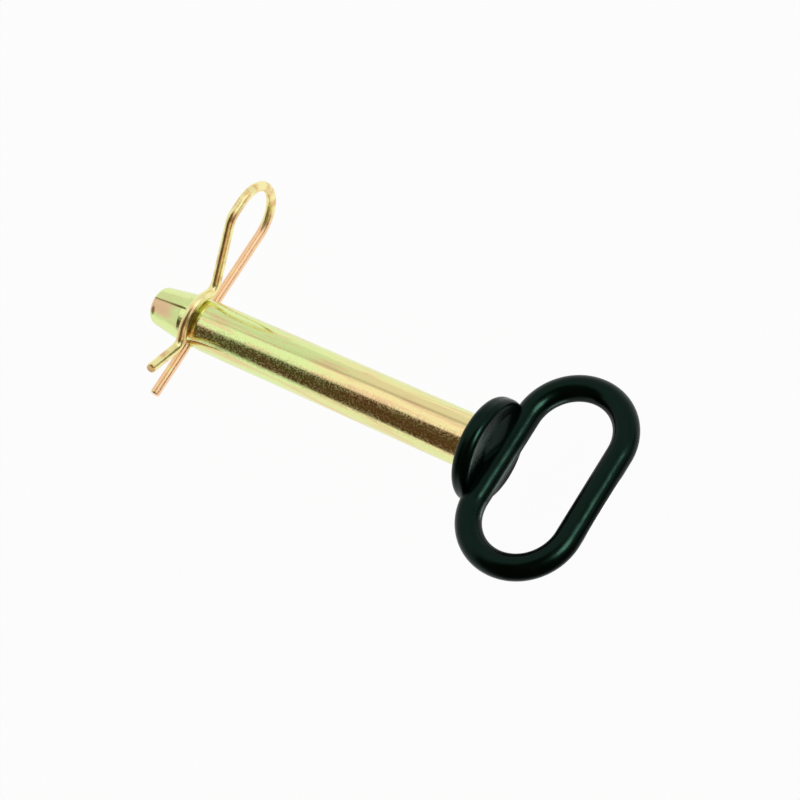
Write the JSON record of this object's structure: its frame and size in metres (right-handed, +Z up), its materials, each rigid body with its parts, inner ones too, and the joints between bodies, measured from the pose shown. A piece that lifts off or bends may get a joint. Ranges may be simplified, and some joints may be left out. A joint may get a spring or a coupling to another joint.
{
  "type": "hitch pin",
  "caption": "Forged drawbar hitch pin: plated steel shank with tapered nose and cross-hole, vinyl-dipped ring handle on its head, and a spring wire hitch clip that locks it.",
  "frame": {"origin": "on the pin's axis in the plane of the seating shoulder, the face of the coated head that the pin's load bears on, with the part lying as it comes to rest", "axes": "+X along the pin from nose to handle, level with the floor; +Y to the side where the clip's bow lies; +Z up from the floor, so the pin's own axis climbs 4 degrees towards the handle"},
  "size_m": [0.2552, 0.1256, 0.0502],
  "materials": {
    "plated_steel": "bright yellow-chromate zinc plating over turned steel",
    "bare_steel": "hot-rolled bar and as-laid weld under the vinyl",
    "vinyl": "glossy black hot-dipped vinyl",
    "plated_wire": "bright yellow-chromate zinc plating over drawn spring wire"
  },
  "bodies": {
    "pin": {"shank": "plated_steel", "handle_ring": "bare_steel", "upper_weld": "bare_steel", "lower_weld": "bare_steel", "vinyl_coat": "vinyl"},
    "clip": {"hitch_clip": "plated_wire"}
  },
  "joints": [
    {"name": "clip_pull", "type": "slide", "parent": "pin", "child": "clip", "axis": [0.0139, 0.9815, -0.1908], "range_m": [0, 0.057], "deforming": ["hitch_clip"]}
  ]
}
